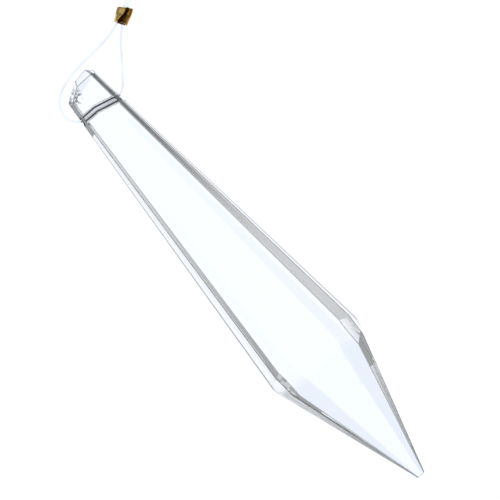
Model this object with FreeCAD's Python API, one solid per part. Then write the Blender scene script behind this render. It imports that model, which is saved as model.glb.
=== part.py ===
"""Icicle hanging ornament: a cut-glass prism on a nylon line closed by a crimp tube.

The prism lies on its back facet. Origin: middle of the prism's footprint, on the
surface. +X runs from the drilled end to the tip, +Z up out of the front facet.
All sizes are in millimetres.
"""
import FreeCAD, Part
import math
import os

Vector = FreeCAD.Vector

os.makedirs("parts", exist_ok=True)

# ---- Driving dimensions: the prism -------------------------------------------------
PRISM_LENGTH = 100.3        # drilled end to tip
TIP_LENGTH = 30.2           # shoulder to tip
SHOULDER_HALF_WIDTH = 10.58
SHOULDER_FRONT_DEPTH = 7.0  # girdle to front facet, at the shoulder
SHOULDER_BACK_DEPTH = 3.0   # girdle to back facet, at the shoulder

# Each long facet runs to one of two points on the axis, so the section keeps its
# shape while it shrinks from the shoulder towards the drilled end and the tip.
BODY_APEX = -108.6
TIP_APEX = 32.9
BODY_FRONT_HALF_WIDTH = 9.26
BODY_BACK_HALF_WIDTH = 7.83
TIP_FRONT_HALF_WIDTH = 9.6
TIP_BACK_HALF_WIDTH = 8.25

# Small facets that take the corner off each shoulder, as distances from the shoulder.
GIRDLE_CORNER_BEFORE = 0.56
GIRDLE_CORNER_AFTER = 0.47
FRONT_CORNER_BEFORE = 1.6
FRONT_CORNER_AFTER = 2.6
BACK_CORNER_BEFORE = 1.4
BACK_CORNER_AFTER = 3.4

# The drilled end is cut by three pairs of facets, sloped to the front and to the back.
# Each row: a corner measured from the end's outermost point, the turn of the front and
# the back facet in plan, and how far each runs in over its height.
END_CUTS = [
    (Vector(0.0, 2.6, 0), 2.0, 17.3, 1.7, 0.55),
    (Vector(1.36, -1.75, 0), 35.4, 35.4, 0.95, 0.4),
    (Vector(0.0, 2.6, 0), -43.7, -43.7, 0.95, 0.4),
]

# ---- Driving dimensions: the cross hole --------------------------------------------
# It is drilled from both sides, and the two bores meet at a slight bend. Each place is
# a distance from the drilled end and one from the long axis.
HOLE_DIAMETER = 2.0
HOLE_RIGHT_MOUTH = (8.73, 4.4)
HOLE_BEND = (7.43, -0.8)
HOLE_LEFT_MOUTH = (7.48, -4.5)

# ---- Driving dimensions: the crimp tube and the line -------------------------------
LINE_DIAMETER = 0.5
CRIMP_LENGTH = 3.1
CRIMP_WALL = 0.33
CRIMP_LOWER_MOUTH = Vector(-52.38, 13.67, 1.26)
CRIMP_TURN_DEG = 122.0      # direction of the crimp's axis in plan, from +X
# (distance along the crimp, outer width, outer height); the waist is the pressed place
CRIMP_SECTIONS = [(0.0, 2.72, 2.3), (0.9, 2.8, 2.15), (2.0, 3.1, 1.22), (3.1, 3.08, 1.8)]
PINCH_AT = 2.0
STRAND_OFFSET = 0.28
STRAND_GAP_AT_HINGE = 0.3

BIG = 300.0


def unit(v):
    w = Vector(v)
    w.normalize()
    return w


# ---- Cutting flat facets -----------------------------------------------------------
def half_space(point, outward):
    """A large block that holds everything beyond the plane."""
    block = Part.makeBox(BIG, BIG, BIG, Vector(-BIG / 2, -BIG / 2, 0))
    turn = FreeCAD.Rotation(Vector(0, 0, 1), unit(outward))
    block.Placement = FreeCAD.Placement(point, turn)
    return block


def facet_through(a, b, c):
    """The plane through three points, facing away from the prism's axis."""
    normal = (b - a).cross(c - a)
    if normal.dot(b) < 0:
        normal = normal * -1
    return (b, normal)


def mirrored(facet):
    point, normal = facet
    return (Vector(point.x, -point.y, point.z), Vector(normal.x, -normal.y, normal.z))


def toward(apex, x, y, z):
    """The section corner (y, z) at the shoulder, carried to x along its long edge."""
    k = 1 - x / apex
    return Vector(x, y * k, z * k)


def long_facets(apex, front_half, back_half):
    """The six long facets that meet at one apex: front, back and four bevels."""
    top = SHOULDER_FRONT_DEPTH
    bottom = -SHOULDER_BACK_DEPTH
    tip = Vector(apex, 0, 0)
    girdle = Vector(0, SHOULDER_HALF_WIDTH, 0)
    front_edge = Vector(0, front_half, top)
    back_edge = Vector(0, back_half, bottom)
    facets = [facet_through(tip, Vector(0, -1, top), Vector(0, 1, top))]
    facets.append(facet_through(tip, Vector(0, -1, bottom), Vector(0, 1, bottom)))
    for edge in (front_edge, back_edge):
        bevel = facet_through(tip, edge, girdle)
        facets += [bevel, mirrored(bevel)]
    return facets


def shoulder_facets():
    """Two small facets on each shoulder that share an edge on the girdle."""
    first = toward(BODY_APEX, -GIRDLE_CORNER_BEFORE, SHOULDER_HALF_WIDTH, 0)
    last = toward(TIP_APEX, GIRDLE_CORNER_AFTER, SHOULDER_HALF_WIDTH, 0)
    front_before = toward(
        BODY_APEX, -FRONT_CORNER_BEFORE, BODY_FRONT_HALF_WIDTH, SHOULDER_FRONT_DEPTH)
    front_after = toward(
        TIP_APEX, FRONT_CORNER_AFTER, TIP_FRONT_HALF_WIDTH, SHOULDER_FRONT_DEPTH)
    back_before = toward(
        BODY_APEX, -BACK_CORNER_BEFORE, BODY_BACK_HALF_WIDTH, -SHOULDER_BACK_DEPTH)
    back_after = toward(
        TIP_APEX, BACK_CORNER_AFTER, TIP_BACK_HALF_WIDTH, -SHOULDER_BACK_DEPTH)
    front = facet_through(first, last, (front_before + front_after) * 0.5)
    back = facet_through(first, last, (back_before + back_after) * 0.5)
    return [front, mirrored(front), back, mirrored(back)]


def outward(turn):
    """Away from the drilled end, turned in plan by so many degrees."""
    angle = math.radians(turn)
    return Vector(-math.cos(angle), -math.sin(angle), 0)


def end_facets(end_x):
    """The drilled end: a skewed end facet and two corners, bevelled front and back."""
    shrink = 1 - end_x / BODY_APEX
    front_rise = SHOULDER_FRONT_DEPTH * shrink
    back_rise = SHOULDER_BACK_DEPTH * shrink
    outermost = Vector(end_x, 0, 0)
    facets = []
    for corner, front_turn, back_turn, front_run, back_run in END_CUTS:
        point = outermost + corner
        facets.append((point, outward(front_turn) * front_rise + Vector(0, 0, front_run)))
        facets.append((point, outward(back_turn) * back_rise + Vector(0, 0, -back_run)))
    return facets


def cut_prism():
    """A block of glass with one cut for each facet, in the axis frame of the prism."""
    end_x = TIP_LENGTH - PRISM_LENGTH
    glass = Part.makeBox(PRISM_LENGTH, 60, 60, Vector(end_x, -30, -30))
    facets = long_facets(BODY_APEX, BODY_FRONT_HALF_WIDTH, BODY_BACK_HALF_WIDTH)
    facets += long_facets(TIP_APEX, TIP_FRONT_HALF_WIDTH, TIP_BACK_HALF_WIDTH)
    facets += shoulder_facets()
    facets += end_facets(end_x)
    for point, normal in facets:
        glass = glass.cut(half_space(point, normal))
    return glass


def lay_down(shape):
    """Turn the prism onto its long back facet and centre its footprint."""
    slope = math.degrees(math.atan(SHOULDER_BACK_DEPTH / -BODY_APEX))
    shape.rotate(Vector(0, 0, 0), Vector(0, 1, 0), -slope)
    box = shape.BoundBox
    shift = Vector(-(box.XMin + box.XMax) / 2, -(box.YMin + box.YMax) / 2, -box.ZMin)
    shape.translate(shift)
    return shape


def hole_places(prism):
    """Right mouth, bend and left mouth of the hole, halfway between front and back."""
    end_x = prism.BoundBox.XMin
    x = end_x + HOLE_BEND[0]
    inside = prism.common(Part.makeLine(Vector(x, 0, -1), Vector(x, 0, 20))).BoundBox
    height = (inside.ZMin + inside.ZMax) / 2
    places = (HOLE_RIGHT_MOUTH, HOLE_BEND, HOLE_LEFT_MOUTH)
    return [Vector(end_x + along, across, height) for along, across in places]


def drill(prism, places):
    right, bend, left = places
    radius = HOLE_DIAMETER / 2
    glass = prism.cut(Part.makeSphere(radius, bend))
    for mouth in (right, left):
        run = mouth - bend
        glass = glass.cut(Part.makeCylinder(radius, 2 * run.Length, bend, run))
    return glass


# ---- The crimp tube ----------------------------------------------------------------
def crimp_frame():
    angle = math.radians(CRIMP_TURN_DEG)
    along = Vector(math.cos(angle), math.sin(angle), 0)
    across = Vector(math.sin(angle), -math.cos(angle), 0)
    return along, across


def crimp_point(distance, offset):
    along, across = crimp_frame()
    return CRIMP_LOWER_MOUTH + along * distance + across * offset


def oval_loft(shrink, overrun):
    """A solid through the crimp's oval sections, each made smaller by shrink."""
    along, across = crimp_frame()
    wires = []
    last = len(CRIMP_SECTIONS) - 1
    for index, (distance, width, height) in enumerate(CRIMP_SECTIONS):
        if index == 0:
            distance -= overrun
        if index == last:
            distance += overrun
        centre = CRIMP_LOWER_MOUTH + along * distance
        wide = centre + across * (width / 2 - shrink)
        high = centre + Vector(0, 0, height / 2 - shrink)
        oval = Part.Ellipse(wide, high, centre)
        wires.append(Part.Wire([oval.toShape()]))
    return Part.makeLoft(wires, True, False)


def crimp_tube():
    return oval_loft(0, 0).cut(oval_loft(CRIMP_WALL, 0.01))


# ---- The line ----------------------------------------------------------------------
def rounded_path(points):
    """Straight runs joined by tangent arcs, each as large as its two runs allow."""
    edges = []
    radii = []
    start = points[0]
    for before, corner, after in zip(points, points[1:], points[2:]):
        arrive = unit(corner - before)
        leave = unit(after - corner)
        turn = arrive.getAngle(leave)
        back = 0.45 * min((corner - before).Length, (after - corner).Length)
        radii.append(back / math.tan(turn / 2))
        first = corner - arrive * back
        last = corner + leave * back
        bisector = unit(leave - arrive)
        inset = radii[-1] * (1 / math.cos(turn / 2) - 1)
        edges.append(Part.LineSegment(start, first).toShape())
        edges.append(Part.Arc(first, corner + bisector * inset, last).toShape())
        start = last
    edges.append(Part.LineSegment(start, points[-1]).toShape())
    return Part.Wire(edges), radii


def line_tube(name, points):
    """A round tube along the path; its volume is compared with section times length."""
    path, radii = rounded_path(points)
    heading = unit(points[1] - points[0])
    ring = Part.Wire([Part.makeCircle(LINE_DIAMETER / 2, points[0], heading)])
    tube = path.makePipeShell([ring], True, True)
    expected = math.pi * (LINE_DIAMETER / 2) ** 2 * path.Length
    print(name, "length", round(path.Length, 2), "smallest radius", round(min(radii), 2),
          "volume ratio", round(tube.Volume / expected, 4))
    print(name, "radii", [round(r, 1) for r in radii])
    return tube


def prism_loop_route():
    """Through the crimp, down to the hole, through it and back round the drilled end."""
    return [
        crimp_point(CRIMP_LENGTH, STRAND_OFFSET),
        crimp_point(PINCH_AT, STRAND_OFFSET),
        crimp_point(0, 0.35),
        Vector(-49.9, 11.5, 0.6),
        Vector(-47.3, 9.6, 0.27),
        Vector(-44.6, 7.5, 0.75),
        Vector(-42.1, 5.3, 1.85),
        Vector(-41.75, 2.6, 2.14),
        Vector(-42.4, -2.6, 2.14),
        Vector(-43.2, -5.3, 1.75),
        Vector(-45.9, -6.3, 0.9),
        Vector(-48.6, -5.4, 0.35),
        Vector(-50.4, -2.6, 0.27),
        Vector(-51.3, 1.4, 0.27),
        Vector(-51.65, 6.0, 0.27),
        Vector(-51.95, 10.2, 0.55),
        crimp_point(0, -0.6),
        crimp_point(PINCH_AT, -STRAND_OFFSET),
        crimp_point(CRIMP_LENGTH, -STRAND_OFFSET),
    ]


def hanging_loop_route():
    """Out of the crimp, round the closed end that goes over a hook, and back."""
    leave = CRIMP_LENGTH + STRAND_GAP_AT_HINGE
    return [
        crimp_point(leave, STRAND_OFFSET),
        Vector(-55.0, 18.75, 1.15),
        Vector(-57.3, 22.2, 0.6),
        Vector(-61.2, 26.2, 0.27),
        Vector(-66.5, 29.6, 0.27),
        Vector(-72.5, 31.9, 0.27),
        Vector(-78.6, 32.6, 0.27),
        Vector(-83.4, 30.0, 0.27),
        Vector(-84.2, 25.2, 0.27),
        Vector(-80.2, 21.9, 0.27),
        Vector(-74.4, 21.7, 0.27),
        Vector(-68.6, 22.6, 0.27),
        Vector(-63.0, 22.4, 0.27),
        Vector(-58.6, 20.9, 0.55),
        Vector(-55.75, 18.6, 1.1),
        crimp_point(leave, -STRAND_OFFSET),
    ]


# ---- Build and write ---------------------------------------------------------------
glass = lay_down(cut_prism())
hole = hole_places(glass)
prism = drill(glass, hole)
print("hole", hole, "middle", (hole[0] + hole[2]) * 0.5, "along", unit(hole[0] - hole[2]))
print("hinge of hanging loop", crimp_point(CRIMP_LENGTH + STRAND_GAP_AT_HINGE, 0))
print("prism box", prism.BoundBox, "volume", round(prism.Volume, 1))

pieces = {
    "crystal_prism": prism,
    "crimp_tube": crimp_tube(),
    "prism_loop_line": line_tube("prism_loop_line", prism_loop_route()),
    "hanging_loop_line": line_tube("hanging_loop_line", hanging_loop_route()),
}
for node, shape in pieces.items():
    print(node, "valid", shape.isValid(), "solids", len(shape.Solids), shape.BoundBox)
    shape.exportStep("parts/" + node + ".step")
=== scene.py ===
# %% [markdown]
# # A cut-glass icicle on a clear line
#
# This lesson dresses a small hanging ornament: a long, flat glass prism with a pointed
# tip, a clear nylon line through its drilled end, and a pressed metal tube that holds
# the two strands together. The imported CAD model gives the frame. It is loaded first,
# because every size and place below is measured from it.

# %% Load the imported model
import math

import bmesh
import bpy
from mathutils import Matrix, Vector


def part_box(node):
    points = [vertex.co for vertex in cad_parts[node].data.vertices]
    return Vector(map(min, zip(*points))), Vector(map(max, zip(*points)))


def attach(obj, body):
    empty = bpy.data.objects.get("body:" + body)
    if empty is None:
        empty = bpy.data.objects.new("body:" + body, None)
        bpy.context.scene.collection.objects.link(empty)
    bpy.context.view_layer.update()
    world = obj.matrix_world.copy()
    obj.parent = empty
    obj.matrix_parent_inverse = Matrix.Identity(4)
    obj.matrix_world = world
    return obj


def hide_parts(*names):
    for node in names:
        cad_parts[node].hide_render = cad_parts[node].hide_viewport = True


MM = 0.001
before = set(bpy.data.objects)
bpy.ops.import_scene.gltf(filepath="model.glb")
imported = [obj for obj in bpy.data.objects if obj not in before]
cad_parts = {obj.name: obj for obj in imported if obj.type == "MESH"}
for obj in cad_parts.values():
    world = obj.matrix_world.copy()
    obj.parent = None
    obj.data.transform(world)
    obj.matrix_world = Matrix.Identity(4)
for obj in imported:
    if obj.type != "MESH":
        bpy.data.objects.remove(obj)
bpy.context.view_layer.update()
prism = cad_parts["crystal_prism"]
prism_low, prism_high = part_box("crystal_prism")
print("prism", [round(side / MM, 2) for side in prism_high - prism_low], "mm")


# %% [markdown]
# ## The camera
#
# The ornament lies on a light table and is seen from above, with a long lens, so that
# its outline is almost free of perspective. The camera could look straight down and be
# shifted sideways, but a shift follows the camera into every other view. Here it leans
# a few degrees instead. `lean_from` is the point the camera stands at, `aim` the point
# on the table in the middle of the picture, and `turn` the direction on the table that
# is up in the picture.

# %% Camera
scene = bpy.context.scene


def stand_camera(lean_from, aim, turn_deg, picture_width):
    """A camera at lean_from that looks at aim and sees picture_width of the table."""
    data = bpy.data.cameras.new("camera")
    camera = bpy.data.objects.new("camera", data)
    scene.collection.objects.link(camera)
    back = (lean_from - aim).normalized()
    turn = math.radians(turn_deg)
    right = Vector((math.cos(turn), math.sin(turn), 0)).cross(back).normalized()
    up = back.cross(right)
    camera.matrix_world = Matrix.Translation(lean_from) @ Matrix(
        (right, up, back)
    ).transposed().to_4x4()
    data.lens = data.sensor_width * (lean_from - aim).length / picture_width
    data.clip_start = 0.05
    scene.camera = camera
    return camera


camera = stand_camera(
    lean_from=Vector((0.0, -28.0, 400.0)) * MM,
    aim=Vector((-3.34, 3.9, 0.0)) * MM,
    turn_deg=138.83,
    picture_width=95.85 * MM,
)
print("lens", round(camera.data.lens, 1), "mm")


# %% [markdown]
# ## The line
#
# The real line is one piece of clear nylon monofilament, half a millimetre thick. It
# goes through the metal tube, through the hole in the glass, back through the tube, and
# above the tube it is the loop that hangs on a branch. The tube holds it so firmly that
# it can be drawn as two cords, and then each can swing on its own. A curve with a
# bevel is the simplest true cord: the spline is its centreline, and the bevel its
# thickness. The points are the corners of the route, and an order of 3 rounds every
# corner off without leaving its two runs.

# %% A cord along a given route
LINE_DIAMETER = 0.5 * MM
CRIMP_LENGTH = 3.1 * MM
CRIMP_LOWER_MOUTH = Vector((-52.38, 13.67, 1.26)) * MM
CRIMP_ALONG = Vector((math.cos(math.radians(122)), math.sin(math.radians(122)), 0))
CRIMP_ACROSS = Vector((CRIMP_ALONG.y, -CRIMP_ALONG.x, 0))
PINCH_AT = 2.0 * MM
STRAND_OFFSET = 0.28 * MM
HINGE_GAP = 0.3 * MM


def crimp_point(distance, offset):
    """The point so far along the tube's axis and so far across it."""
    return CRIMP_LOWER_MOUTH + CRIMP_ALONG * distance + CRIMP_ACROSS * offset


def line_cord(name, route):
    """A round cord whose spline runs through the corners of its route."""
    curve = bpy.data.curves.new(name, "CURVE")
    curve.dimensions = "3D"
    curve.bevel_depth = 1.0
    curve.bevel_resolution = 6
    curve.use_fill_caps = True
    spline = curve.splines.new("NURBS")
    spline.points.add(len(route) - 1)
    for point, place in zip(spline.points, route):
        point.co = (*place, 1)
        point.radius = LINE_DIAMETER / 2
    spline.order_u = 3
    spline.use_endpoint_u = True
    spline.resolution_u = 12
    cord = bpy.data.objects.new(name, curve)
    scene.collection.objects.link(cord)
    return cord


def in_mm(*points):
    """Points given in millimetres, as vectors in metres."""
    return [Vector(point) * MM for point in points]


# %% The loop through the glass
prism_loop_route = [
    crimp_point(CRIMP_LENGTH, STRAND_OFFSET),
    crimp_point(PINCH_AT, STRAND_OFFSET),
    crimp_point(0, 0.35 * MM),
    *in_mm(
        (-49.9, 11.5, 0.6),
        (-47.3, 9.6, 0.27),
        (-44.6, 7.5, 0.75),
        (-42.1, 5.3, 1.85),
        (-41.75, 2.6, 2.14),
        (-42.4, -2.6, 2.14),
        (-43.2, -5.3, 1.75),
        (-45.9, -6.3, 0.9),
        (-48.6, -5.4, 0.35),
        (-50.4, -2.6, 0.27),
        (-51.3, 1.4, 0.27),
        (-51.65, 6.0, 0.27),
        (-51.95, 10.2, 0.55),
    ),
    crimp_point(0, -0.6 * MM),
    crimp_point(PINCH_AT, -STRAND_OFFSET),
    crimp_point(CRIMP_LENGTH, -STRAND_OFFSET),
]
prism_loop = line_cord("prism_loop", prism_loop_route)

# %% The loop that hangs on a branch
hanging_loop_route = [
    crimp_point(CRIMP_LENGTH + HINGE_GAP, STRAND_OFFSET),
    *in_mm(
        (-55.0, 18.75, 1.15),
        (-57.3, 22.2, 0.6),
        (-61.2, 26.2, 0.27),
        (-66.5, 29.6, 0.27),
        (-72.5, 31.9, 0.27),
        (-78.6, 32.6, 0.27),
        (-83.4, 30.0, 0.27),
        (-84.2, 25.2, 0.27),
        (-80.2, 21.9, 0.27),
        (-74.4, 21.7, 0.27),
        (-68.6, 22.6, 0.27),
        (-63.0, 22.4, 0.27),
        (-58.6, 20.9, 0.55),
        (-55.75, 18.6, 1.1),
    ),
    crimp_point(CRIMP_LENGTH + HINGE_GAP, -STRAND_OFFSET),
]
hanging_loop = line_cord("hanging_loop", hanging_loop_route)

# %% Hand both cords to the frame
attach(prism_loop, "prism_loop")
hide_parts("prism_loop_line")
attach(hanging_loop, "hanging_loop")
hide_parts("hanging_loop_line")
for cord in (prism_loop, hanging_loop):
    length = cord.data.splines[0].calc_length()
    print(cord.name, "length", round(length / MM, 1), "mm")


# %% [markdown]
# ## The crimp tube
#
# The tube is a short cut length of gold-plated brass pipe, squeezed flat on the line by
# pliers. A ring of vertices pushed along the axis gives every section its own width and
# height, so the squeeze, the fold that it leaves and the flared mouths are all in the
# mesh. The wall is made last, by solidifying the skin inwards.

# %% A pressed tube from one ring
# Each row: distance along the tube, half width, half height, in millimetres.
CRIMP_STATIONS = [
    (0.0, 1.36, 1.15),
    (0.9, 1.40, 1.06),
    (2.0, 1.54, 0.62),
    (2.6, 1.55, 0.72),
    (3.1, 1.54, 0.90),
]
CRIMP_WALL = 0.33 * MM
CRIMP_RING = 120
CRIMP_RINGS = 44
# The fold that the pliers left runs slantwise over the top of the tube, from one place
# to the other. Each place is a distance along the tube and one across it.
FOLD_FROM = (0.35, -0.45)
FOLD_TO = (3.1, 0.8)
FOLD_DEPTH = 0.3
FOLD_SPREAD = 0.17
# The cutters left both mouths askew: how far the lower one is cut back on top, and how
# much longer one side is than the other at the upper one, in millimetres.
LOWER_CUT_BACK = 0.1
UPPER_SKEW = 0.25


def crimp_section(distance):
    """Half width and half height at a distance along the tube, eased between rows."""
    for before, after in zip(CRIMP_STATIONS, CRIMP_STATIONS[1:]):
        if distance <= after[0]:
            break
    share = (distance - before[0]) / (after[0] - before[0])
    share = (1 - math.cos(math.pi * min(max(share, 0), 1))) / 2
    return [a + (b - a) * share for a, b in zip(before[1:], after[1:])]


def fold_at(distance, across):
    """1 in the bottom of the fold, going to 0 beside it and past its two ends."""
    run = (FOLD_TO[0] - FOLD_FROM[0], FOLD_TO[1] - FOLD_FROM[1])
    length = math.hypot(*run)
    away = (distance - FOLD_FROM[0], across - FOLD_FROM[1])
    aside = (away[0] * run[1] - away[1] * run[0]) / length
    ahead = (away[0] * run[0] + away[1] * run[1]) / length**2
    ends = max(0, min(1, (ahead + 0.15) / 0.1, (1.15 - ahead) / 0.2))
    # The crease opens into a hollow on its right, near the lower mouth.
    spread = FOLD_SPREAD
    if aside < 0:
        spread *= 1 + 4 * max(0, 1 - ahead / 0.45)
    return ends * math.exp(-((aside / spread) ** 2))


def oval_ring(verts, distance, fold):
    """Move a round ring of vertices to its place along the tube."""
    half_width, half_height = crimp_section(distance)
    up_share = distance / (CRIMP_LENGTH / MM)
    for index, vert in enumerate(verts):
        angle = 2 * math.pi * index / len(verts)
        wide = math.cos(angle) * half_width
        high = math.sin(angle) * half_height
        along = distance + UPPER_SKEW * math.cos(angle) * up_share**2
        along += LOWER_CUT_BACK * max(0, math.sin(angle)) * (1 - up_share) ** 2
        centre = crimp_point(along * MM, 0)
        depth = fold_at(distance, wide) if high > 0 else 0
        vert[fold] = depth
        high -= FOLD_DEPTH * depth * math.sin(angle)
        vert.co = centre + CRIMP_ACROSS * wide * MM + Vector((0, 0, high * MM))


def pressed_tube():
    """The skin of the tube, with modifiers for its wall and its rounded rims."""
    bm = bmesh.new()
    fold = bm.verts.layers.float.new("fold")
    ring = bmesh.ops.create_circle(bm, segments=CRIMP_RING, radius=MM)["verts"]
    edges = list(bm.edges)
    oval_ring(ring, 0, fold)
    for step in range(1, CRIMP_RINGS + 1):
        made = bmesh.ops.extrude_edge_only(bm, edges=edges)["geom"]
        ring = [v for v in made if isinstance(v, bmesh.types.BMVert)]
        edges = [e for e in made if isinstance(e, bmesh.types.BMEdge) and e.is_boundary]
        oval_ring(ring, CRIMP_LENGTH / MM * step / CRIMP_RINGS, fold)
    bmesh.ops.recalc_face_normals(bm, faces=bm.faces)
    mesh = bpy.data.meshes.new("crimp")
    bm.to_mesh(mesh)
    bm.free()
    mesh.shade_smooth()
    tube = bpy.data.objects.new("crimp", mesh)
    scene.collection.objects.link(tube)
    wall = tube.modifiers.new("wall", "SOLIDIFY")
    wall.thickness = CRIMP_WALL
    wall.offset = -1
    wall.use_even_offset = True
    rim = tube.modifiers.new("rim", "BEVEL")
    rim.width = 0.05 * MM
    rim.segments = 3
    rim.limit_method = "ANGLE"
    rim.angle_limit = math.radians(50)
    return tube


crimp = pressed_tube()
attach(crimp, "prism_loop")
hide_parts("crimp_tube")
print("crimp faces", len(crimp.data.polygons))


# %% [markdown]
# ## Colour and node helpers
#
# A hex colour is sRGB, and a shader wants linear light, so one function turns one into
# the other. The rest keep the materials short: one adds a node with its settings and
# links, and the others do sums, fades and bands with it.

# %% Helpers for nodes
def linear(hex_colour):
    """A shader's colour from an sRGB hex one."""
    channels = [int(hex_colour[i : i + 2], 16) / 255 for i in (1, 3, 5)]
    curve = [c / 12.92 if c <= 0.04045 else ((c + 0.055) / 1.055) ** 2.4 for c in channels]
    return (*curve, 1)


def add_node(tree, kind, settings=None, values=None, links=None):
    """Adds a node, sets its properties and socket values, and links its inputs."""
    node = tree.nodes.new("ShaderNode" + kind)
    for key, value in (settings or {}).items():
        setattr(node, key, value)
    for key, value in (values or {}).items():
        node.inputs[key].default_value = value
    for key, socket in (links or {}).items():
        tree.links.new(socket, node.inputs[key])
    return node


def new_material(name):
    """An empty material, its node tree, and the place on the piece in metres."""
    material = bpy.data.materials.new(name)
    material.use_nodes = True
    tree = material.node_tree
    tree.nodes.clear()
    return material, tree, add_node(tree, "TexCoord").outputs["Object"]


def surface(tree, values, links):
    """The one shader of a material, and its output."""
    shader = add_node(tree, "BsdfPrincipled", {}, values, links)
    add_node(tree, "OutputMaterial", links={"Surface": shader.outputs[0]})


def dress(piece, *materials):
    """Gives a piece its materials in place of any that it has."""
    piece.data.materials.clear()
    for material in materials:
        piece.data.materials.append(material)


# %% Helpers for sums
def calculate(tree, operation, *operands, clamp=False):
    """One Math node: each operand is a number or a socket."""
    node = add_node(tree, "Math", {"operation": operation, "use_clamp": clamp})
    for index, operand in enumerate(operands):
        if isinstance(operand, (int, float)):
            node.inputs[index].default_value = operand
        else:
            tree.links.new(operand, node.inputs[index])
    return node.outputs[0]


def product(tree, first, *others):
    """All the masks multiplied: 1 only where every one of them is 1."""
    for other in others:
        first = calculate(tree, "MULTIPLY", first, other)
    return first


def strongest(tree, first, *others):
    """The highest of the masks at each place."""
    for other in others:
        first = calculate(tree, "MAXIMUM", first, other)
    return first


def dot(tree, place, direction):
    """How far a place lies along a direction."""
    node = add_node(
        tree, "VectorMath", {"operation": "DOT_PRODUCT"}, {1: direction}, {0: place})
    return node.outputs["Value"]


# %% Helpers for masks
def fade(tree, value, start, end, first=0.0, last=1.0):
    """Goes from first to last while value goes from start to end, and stays there."""
    node = add_node(
        tree, "MapRange", {"interpolation_type": "SMOOTHSTEP"},
        {"From Min": start, "From Max": end, "To Min": first, "To Max": last},
        {"Value": value})
    return node.outputs["Result"]


def band(tree, value, rise, fall, before=0.0, top=1.0):
    """Rises from before over one pair of values, and falls to 0 over another."""
    return product(
        tree, fade(tree, value, *rise, before, 1.0), fade(tree, value, *fall, top, 0.0))


def blend(tree, amount, first, last):
    """Goes from one colour to another; each is a colour or a socket."""
    node = add_node(tree, "Mix", {"data_type": "RGBA"}, {}, {0: amount})
    for key, colour in ((6, first), (7, last)):
        if isinstance(colour, tuple):
            node.inputs[key].default_value = colour
        else:
            tree.links.new(colour, node.inputs[key])
    return node.outputs[2]


def clouds(tree, place, size, **values):
    """Soft noise whose lumps are about size across."""
    node = add_node(
        tree, "TexNoise", {}, {"Scale": 1 / size, **values}, {"Vector": place})
    return node.outputs


# %% [markdown]
# ## Polished cut glass
#
# The prism is pressed clear glass whose facets are ground and polished: an index of
# refraction of 1.52 and hardly any colour. A few blemishes keep it from looking like
# perfect water, and some facets carry painted reflection and shade:
#
# - a thin dark line runs along the girdle, the sharp edge all round between front and
#   back;
# - the drilled end is darker along one side, and chipped at a corner;
# - the long bevel on the right is painted darker near that end, and so is one bevel of
#   the tip: painted reflections of the grey room that these facets mirror;
# - the wall of the drilled hole is matt grey, with painted shade that deepens where it
#   turns away from the eye, and its mouths have a grey ring;
# - a few specks of dust and tiny seeds lie about.
#
# Each has a mask of its own, from the place on the glass. Most use one number, the
# share of the way out from the long axis to the girdle. Right and left are as seen from
# above with the drilled end away: right is +Y.

# %% Where things are on the prism
SHOULDER_X = 19.94 * MM
SHOULDER_HALF_WIDTH = 10.58 * MM
BODY_TAPER = 1 / (108.6 * MM)
TIP_TAPER = 1 / (32.9 * MM)
HOLE_RIGHT = Vector((-41.0, 6.0, 2.12)) * MM
HOLE_BEND = Vector((-42.7, -0.8, 2.12)) * MM
HOLE_LEFT = Vector((-42.63, -6.0, 2.12)) * MM
HOLE_RADIUS = 1.0 * MM
CHIPPED_CORNER = Vector((-47.4, -3.0, 0.0)) * MM
DARK_SIDE_END = -39.3 * MM
PAINTED_REFLECTION_FROM = -40 * MM
PAINTED_REFLECTION_TO = 4 * MM


def girdle_share(tree, place):
    """Distance from the long axis in plan: 0 on the axis and 1 on the girdle."""
    x, y, _ = add_node(tree, "SeparateXYZ", links={0: place}).outputs
    ahead = calculate(tree, "SUBTRACT", x, SHOULDER_X)
    body = calculate(tree, "MULTIPLY_ADD", ahead, BODY_TAPER, 1.0)
    tip = calculate(tree, "MULTIPLY_ADD", ahead, -TIP_TAPER, 1.0)
    half_width = calculate(
        tree, "MULTIPLY", calculate(tree, "MINIMUM", body, tip), SHOULDER_HALF_WIDTH)
    return calculate(tree, "DIVIDE", calculate(tree, "ABSOLUTE", y), half_width)


print("half width at the bend of the hole",
      round(SHOULDER_HALF_WIDTH * (1 + (HOLE_BEND.x - SHOULDER_X) * BODY_TAPER) / MM, 2), "mm")


# %% The drilled hole
def run_distance(tree, place, start, end):
    """Distance from the straight run between two points."""
    run = end - start
    away = add_node(
        tree, "VectorMath", {"operation": "SUBTRACT"}, {1: start}, {0: place}).outputs[0]
    ahead = dot(tree, away, run / run.length_squared)
    ahead = calculate(tree, "MULTIPLY", ahead, 1.0, clamp=True)
    foot = add_node(
        tree, "VectorMath", {"operation": "SCALE"}, {0: run}, {"Scale": ahead}).outputs[0]
    gap = add_node(tree, "VectorMath", {"operation": "DISTANCE"}, links={0: away, 1: foot})
    return gap.outputs["Value"]


def hole_distance(tree, place):
    """Distance from the middle of the hole, which bends where its two bores meet."""
    right = run_distance(tree, place, HOLE_RIGHT, HOLE_BEND)
    left = run_distance(tree, place, HOLE_BEND, HOLE_LEFT)
    return calculate(tree, "MINIMUM", right, left)


# %% Chips and specks
def chipped(tree, place, core, rim):
    """1 within core of the corner in plan and 0 beyond rim, broken up into flakes."""
    flat = add_node(tree, "VectorMath", {"operation": "MULTIPLY"}, {1: (1, 1, 0)}, {0: place})
    gap = add_node(
        tree, "VectorMath", {"operation": "DISTANCE"}, {1: CHIPPED_CORNER},
        {0: flat.outputs[0]})
    flakes = clouds(tree, place, 0.9 * MM, Detail=2.0, Distortion=1.5)["Fac"]
    return product(
        tree, fade(tree, gap.outputs["Value"], core, rim, 1.0, 0.0),
        fade(tree, flakes, 0.46, 0.54))


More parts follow.
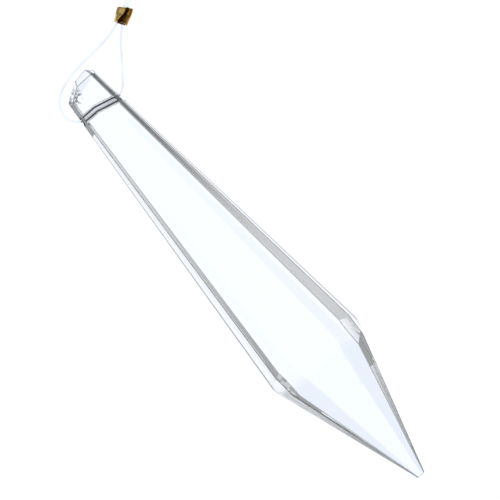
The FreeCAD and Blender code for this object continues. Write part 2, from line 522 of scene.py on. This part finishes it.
def specks(tree, place):
    """Dust and tiny seeds in the glass: a few dots, each alone in its cell."""
    bent = add_node(
        tree, "VectorMath", {"operation": "MULTIPLY_ADD"}, {1: (0.2 * MM,) * 3},
        {0: clouds(tree, place, 0.3 * MM)["Color"], 2: place})
    cells = add_node(
        tree, "TexVoronoi", {}, {"Scale": 1 / (7 * MM)}, {"Vector": bent.outputs[0]})
    dots = fade(tree, cells.outputs["Distance"], 0.018, 0.03, 0.8, 0.0)
    chosen = add_node(tree, "SeparateColor", links={0: cells.outputs["Color"]}).outputs[0]
    return product(tree, dots, calculate(tree, "GREATER_THAN", chosen, 0.5))


# %% Dark lines, dark strips and painted reflections
def girdle_dark_line(tree, x, right_side, share):
    """The dark line of the girdle, a little wider on the right and fainter at the tip."""
    share = calculate(tree, "MULTIPLY_ADD", right_side, 0.045, share)
    level = fade(tree, x, SHOULDER_X - 0.3 * MM, SHOULDER_X + 0.3 * MM, 0.8, 0.45)
    return product(tree, fade(tree, share, 0.975, 0.985), level)


def dark_bevel_strips(tree, x, y, right_side, share):
    """The darker side of the drilled end; painted reflections on the right bevel and tip."""
    dark_end_side = product(
        tree, fade(tree, share, 0.84, 0.87), fade(tree, y, -1 * MM, 0, 1.0, 0.0),
        fade(tree, x, DARK_SIDE_END, DARK_SIDE_END + 0.2 * MM, 0.85, 0.0))
    # Painted reflection: the right bevel is painted darker near the drilled end, for the grey
    # room it mirrors.
    painted_reflection_right = product(
        tree, band(tree, share, (0.70, 0.72), (0.82, 0.84)), right_side,
        fade(tree, x, PAINTED_REFLECTION_FROM, PAINTED_REFLECTION_TO, 0.78, 0.0))
    # Painted reflection: one bevel of the tip is painted darker towards the tip, for the grey
    # room it mirrors.
    painted_reflection_tip = product(
        tree, fade(tree, share, 0.86, 0.87), fade(tree, y, -0.5 * MM, 0, 1.0, 0.0),
        fade(tree, x, SHOULDER_X, SHOULDER_X + 2 * MM, 0.0, 0.55),
        fade(tree, x, SHOULDER_X + 4 * MM, 40 * MM, 1.0, 1.6))
    return strongest(tree, dark_end_side, painted_reflection_right, painted_reflection_tip)


# %% [markdown]
# The marks and the painted shade work like paint: they let less light through, are
# grey, and shine less. They lie on the outside of the glass, so light that meets the
# facet from within doesn't see them. The painted shade of the bore is darkest where its
# round wall turns away from the eye.

# %% Polished glass
def polished_glass():
    material, tree, place = new_material("polished_cut_glass")
    x, y, _ = add_node(tree, "SeparateXYZ", links={0: place}).outputs
    right_side = fade(tree, y, -0.5 * MM, 0.5 * MM)
    share = girdle_share(tree, place)
    chip = chipped(tree, place, 1.5 * MM, 2.5 * MM)
    from_hole = hole_distance(tree, place)
    # Painted shade: the bore wall is a light matt grey, deepening to dark grey where the wall
    # turns away from the eye.
    bore = fade(tree, from_hole, 1.02 * HOLE_RADIUS, 1.06 * HOLE_RADIUS, 1.0, 0.0)
    grazing = add_node(tree, "LayerWeight", {}, {"Blend": 0.5}).outputs["Facing"]
    mouth = band(
        tree, from_hole, (1.02 * HOLE_RADIUS, 1.06 * HOLE_RADIUS),
        (1.2 * HOLE_RADIUS, 1.35 * HOLE_RADIUS), top=0.65)
    marks_and_painted_shade = strongest(
        tree, girdle_dark_line(tree, x, right_side, share), product(tree, chip, 0.7),
        dark_bevel_strips(tree, x, y, right_side, share),
        product(tree, bore, fade(tree, grazing, 0.02, 0.2, 0.2, 0.98)), mouth,
        specks(tree, place))
    within = add_node(tree, "NewGeometry").outputs["Backfacing"]
    marks_and_painted_shade = product(tree, marks_and_painted_shade, calculate(tree, "SUBTRACT", 1.0, within))
    clear = calculate(tree, "SUBTRACT", 1.0, marks_and_painted_shade)
    rough = strongest(tree, product(tree, bore, 0.05), product(tree, chip, 0.35))
    surface(tree, {"IOR": 1.52}, {
        "Base Color": blend(tree, marks_and_painted_shade, linear("#fdfeff"), linear("#55585c")),
        "Roughness": rough,
        "Transmission Weight": clear,
        "Specular IOR Level": product(tree, clear, 0.5),
    })
    return material


# %% [markdown]
# No cut edge is perfectly sharp. A bevel of a tenth of a millimetre along every edge
# carries a second material, glass that is grey, dull and patchy. The bevel needs whole
# facets to start from, so the triangles of the imported mesh are joined into one face
# for each facet first.

# %% Grey edges
def grey_edge():
    material, tree, place = new_material("grey_glass_edge")
    patches = clouds(tree, place, 1.5 * MM, Detail=3.0)["Fac"]
    within = add_node(tree, "NewGeometry").outputs["Backfacing"]
    clear = strongest(tree, fade(tree, patches, 0.35, 0.65, 0.3, 0.7), within)
    surface(
        tree,
        {"Base Color": linear("#777b80"), "IOR": 1.52, "Roughness": 0.25,
         "Specular IOR Level": 0.2},
        {"Transmission Weight": clear})
    return material


dress(prism, polished_glass(), grey_edge())
joined = prism.modifiers.new("joined_facets", "WELD")
joined.merge_threshold = 0.002 * MM
flats = prism.modifiers.new("one_face_for_each_facet", "DECIMATE")
flats.decimate_type = "DISSOLVE"
flats.angle_limit = math.radians(0.3)
edges = prism.modifiers.new("grey_edges", "BEVEL")
edges.width = 0.1 * MM
edges.use_clamp_overlap = False
edges.segments = 3
edges.limit_method = "ANGLE"
edges.angle_limit = math.radians(17)
edges.material = 1
print("prism materials", [material.name for material in prism.data.materials])


# %% [markdown]
# ## Clear nylon
#
# Nylon monofilament is drawn through a die, so it is smooth and clear. Its tint and its
# gloss drift a little along its length, as the drawing never runs quite evenly.

# %% Drawn nylon
def drawn_nylon():
    material, tree, place = new_material("drawn_clear_nylon")
    drift = clouds(tree, place, 4 * MM, Detail=2.0)["Fac"]
    tint = blend(tree, fade(tree, drift, 0.4, 0.6), linear("#f1f7f8"), linear("#eceef4"))
    surface(
        tree, {"IOR": 1.53, "Transmission Weight": 1.0},
        {"Base Color": tint, "Roughness": fade(tree, drift, 0.35, 0.65, 0.0, 0.04)})
    return material


nylon = drawn_nylon()
dress(prism_loop, nylon)
dress(hanging_loop, nylon)
print("nylon on", prism_loop.name, "and", hanging_loop.name)


# %% [markdown]
# ## Gold-plated brass
#
# The plating is bright gold. One half of the tube is painted with a dark brown
# reflection that turns to a painted amber highlight at its edge, and the fold is filled
# with the same colour as painted shade. The pliers scuffed it unevenly, so its gloss is
# cloudy.

# %% Plated brass
def plated_brass():
    material, tree, place = new_material("gold_plated_brass")
    fold = add_node(tree, "Attribute", {"attribute_name": "fold"}).outputs["Fac"]
    cloud = clouds(tree, place, 0.5 * MM, Detail=3.0)["Fac"]
    across = calculate(
        tree, "SUBTRACT", dot(tree, place, CRIMP_ACROSS), CRIMP_LOWER_MOUTH.dot(CRIMP_ACROSS))
    across = calculate(tree, "MULTIPLY_ADD", cloud, 0.5 * MM, across)
    # Painted reflection: dark brown for the dark room that one half mirrors, with a painted
    # amber highlight at its edge.
    painted_dark_reflection = blend(
        tree, fade(tree, across, 0.8 * MM, 1.2 * MM), linear("#351c03"), linear("#a8782a"))
    # The painted dark reflection covers the right half, and fills the fold as painted shade.
    reflection_and_fold_shade = strongest(
        tree, fade(tree, across, 0.1 * MM, 0.45 * MM, 0.1, 0.95), fade(tree, fold, 0.1, 0.5))
    surface(
        tree, {"Metallic": 1.0},
        {"Base Color": blend(tree, reflection_and_fold_shade, linear("#e6c57a"), painted_dark_reflection),
         "Roughness": fade(tree, cloud, 0.3, 0.7, 0.12, 0.3)})
    return material


dress(crimp, plated_brass())
print("brass on", crimp.name)


# %% [markdown]
# ## The light table and the room
#
# Clear glass shows what is behind it, so it lies on a light table: a pale floor that
# glows. The glow ends a hand's width from the ornament, and the steep facets mirror what
# lies beyond, which draws their outline in grey.
#
# A glowing floor can't be in shadow. But the steep facets throw the light of the room
# aside, and leave faint lavender bands on the table under the glass. They are painted
# into the glow, with the same share of the half width that the glass uses.

# %% Shade under the glass
TIP_X = 49.8 * MM
END_CORNER = Vector((-50.13, 2.6, 0.0)) * MM
INTO_THE_END = Vector((math.cos(math.radians(17.3)), math.sin(math.radians(17.3)), 0))


def under_the_glass(tree, place):
    """How far the steep facets keep the light off the table below them, 0 to 1."""
    x, y, _ = add_node(tree, "SeparateXYZ", links={0: place}).outputs
    share = girdle_share(tree, place)
    tip_band = band(tree, share, (0.40, 0.45), (0.88, 0.92), before=0.25)
    body_band = product(
        tree, band(tree, share, (0.44, 0.48), (0.64, 0.68)),
        fade(tree, x, -38 * MM, SHOULDER_X, 0.35, 0.6),
        fade(tree, y, -1 * MM, 1 * MM, 0.4, 1.0))
    at_tip = fade(tree, x, SHOULDER_X - 0.5 * MM, SHOULDER_X + 3 * MM)
    shade = add_node(tree, "Mix", {}, {}, {0: at_tip, 2: body_band, 3: tip_band}).outputs[0]
    shade = product(
        tree, shade, fade(tree, x, -38 * MM, -37 * MM),
        fade(tree, x, TIP_X - 0.6 * MM, TIP_X, 1.0, 0.0))
    depth = calculate(
        tree, "SUBTRACT", dot(tree, place, INTO_THE_END), END_CORNER.dot(INTO_THE_END))
    at_end = product(
        tree, band(tree, depth, (0.1 * MM, 0.3 * MM), (1.9 * MM, 2.2 * MM), top=0.9),
        fade(tree, share, 0.86, 0.9, 1.0, 0.0))
    return strongest(tree, shade, at_end)


# %% A glowing floor
FLOOR_SIDE = 1.2
GLOW_FULL = 84 * MM
GLOW_END = 156 * MM
AIR_GAP = 0.15 * MM  # glass and floor in the same plane would flicker
# Linear light, not hex colours: a glow may be brighter than white.
GLOW = (1.03, 1.06, 1.10, 1)
GLOW_IN_SHADE = (0.87, 0.92, 1.01, 1)
UNLIT = (0.6, 0.6, 0.6, 1)


def light_table():
    material, tree, place = new_material("light_table")
    distance = add_node(tree, "VectorMath", {"operation": "LENGTH"}, links={0: place})
    glow = blend(tree, under_the_glass(tree, place), GLOW, GLOW_IN_SHADE)
    beyond = fade(tree, distance.outputs["Value"], GLOW_FULL, GLOW_END)
    light = add_node(tree, "Emission", links={"Color": blend(tree, beyond, glow, UNLIT)})
    add_node(tree, "OutputMaterial", links={"Surface": light.outputs[0]})
    return material


bm = bmesh.new()
bmesh.ops.create_grid(bm, x_segments=1, y_segments=1, size=FLOOR_SIDE / 2)
bmesh.ops.translate(bm, verts=bm.verts, vec=(0, 0, -AIR_GAP))
floor_mesh = bpy.data.meshes.new("floor")
bm.to_mesh(floor_mesh)
bm.free()
floor = bpy.data.objects.new("floor", floor_mesh)
scene.collection.objects.link(floor)
dress(floor, light_table())
print("floor", FLOOR_SIDE, "m square, its glow fades from", round(GLOW_FULL / MM),
      "to", round(GLOW_END / MM), "mm")

# %% [markdown]
# The room is plain grey from the horizon up to halfway, and brighter overhead. The steep
# bevels turn the view out to the grey part, so they come out darker than the table.

# %% A soft grey room
# Each row: degrees above the horizon and the brightness there.
ROOM = [
    (0, 0.34),
    (10, 0.34),
    (22, 0.32),
    (42, 0.34),
    (47, 0.36),
    (51, 0.75),
    (66, 0.62),
    (70, 0.60),
]


def soft_room():
    world = bpy.data.worlds.new("room")
    world.use_nodes = True
    tree = world.node_tree
    tree.nodes.clear()
    way = add_node(tree, "TexCoord").outputs["Generated"]
    height = add_node(tree, "SeparateXYZ", links={0: way}).outputs["Z"]
    ramp = add_node(tree, "ValToRGB", links={"Fac": height})
    stops = ramp.color_ramp.elements
    while len(stops) < len(ROOM):
        stops.new(0.5)
    for stop, (degrees, level) in zip(stops, ROOM):
        stop.position = math.sin(math.radians(degrees))
        stop.color = (level, level, level, 1)
    sky = add_node(tree, "Background", links={"Color": ramp.outputs["Color"]})
    add_node(tree, "OutputWorld", links={"Surface": sky.outputs[0]})
    scene.world = world
    return len(stops)


print("room levels", soft_room())

# %% How light travels
# Light that turns many times inside the prism needs more bounces than the usual room.
scene.cycles.max_bounces = 32
scene.cycles.transmission_bounces = 32
scene.cycles.glossy_bounces = 16
scene.cycles.use_denoising = True
scene.cycles.denoising_input_passes = "RGB"
scene.view_settings.view_transform = "Standard"
print("bounces", scene.cycles.max_bounces)
